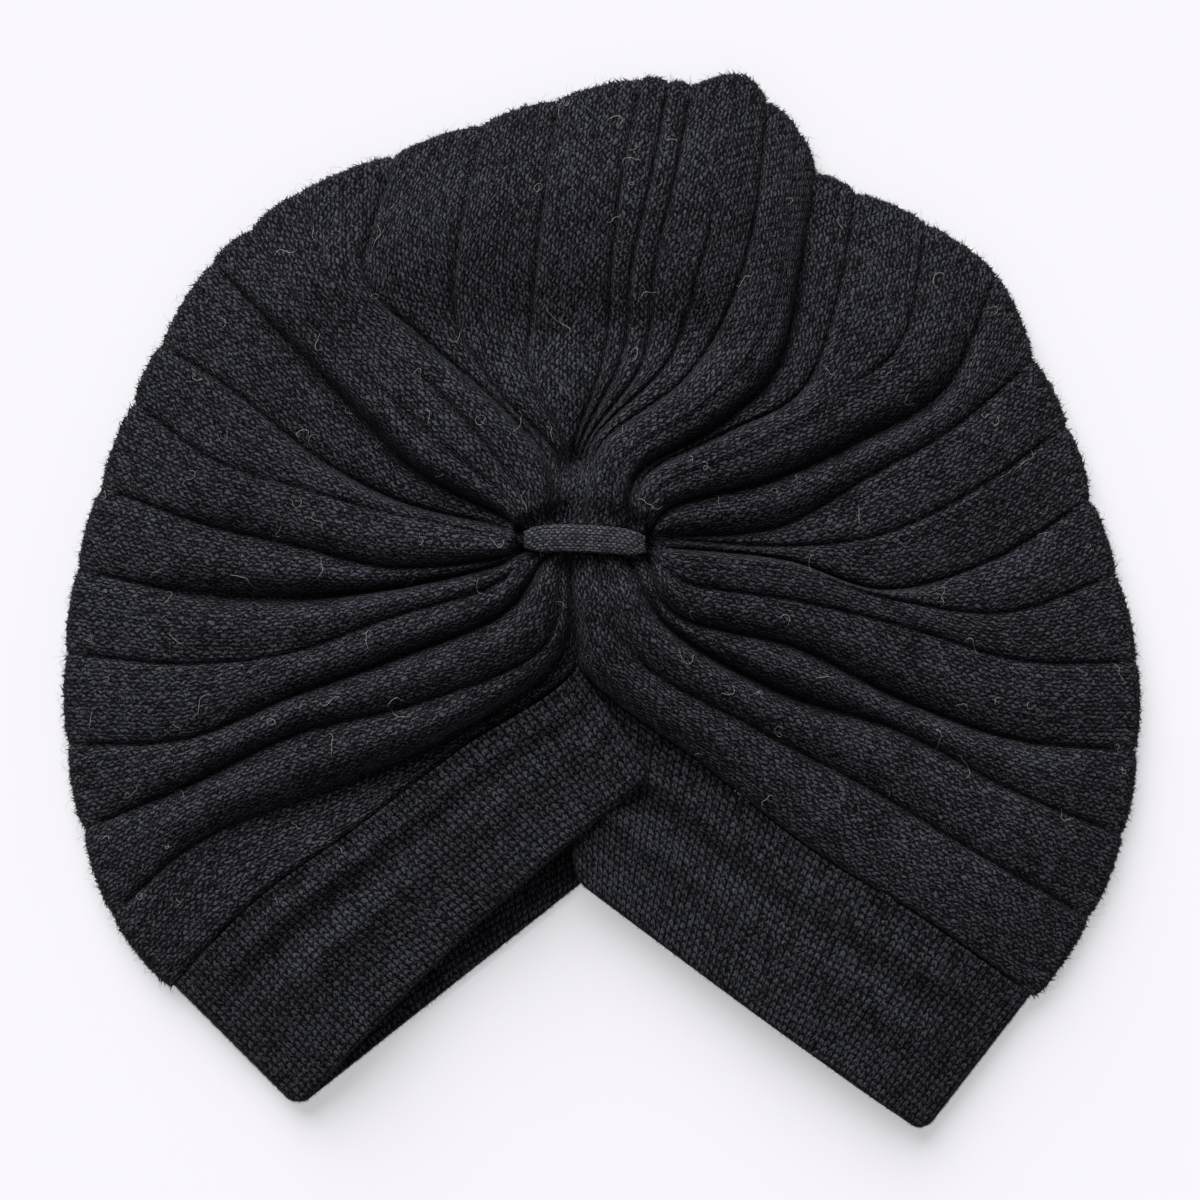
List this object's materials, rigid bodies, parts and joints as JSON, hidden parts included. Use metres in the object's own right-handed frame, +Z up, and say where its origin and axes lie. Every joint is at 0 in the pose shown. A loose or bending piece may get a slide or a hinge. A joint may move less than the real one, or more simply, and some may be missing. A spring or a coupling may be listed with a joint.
{
  "type": "knitted turban headwrap",
  "caption": "Close-fitting knitted turban cap with ribs fanning out from a gathered tie at the front, a small loop over it and a plain hem band round a V-shaped mouth; lies flat.",
  "frame": {"origin": "middle of the bounding box, on the surface the headwrap lies on", "axes": "+X to the wearer's left as seen from the front, +Y from the mouth towards the top of the fan, +Z up out of the front face"},
  "size_m": [0.2796, 0.2732, 0.0255],
  "materials": {
    "ribbed_wool": "matt black rib-knit wool with a soft fuzz",
    "band_wool": "matt black plain-knit wool, smoother than the ribs",
    "loop_wool": "charcoal plain-knit wool strip"
  },
  "bodies": {
    "root": {"crown": "ribbed_wool", "band_left": "band_wool", "band_right": "band_wool", "centre_loop": "loop_wool"}
  },
  "joints": []
}
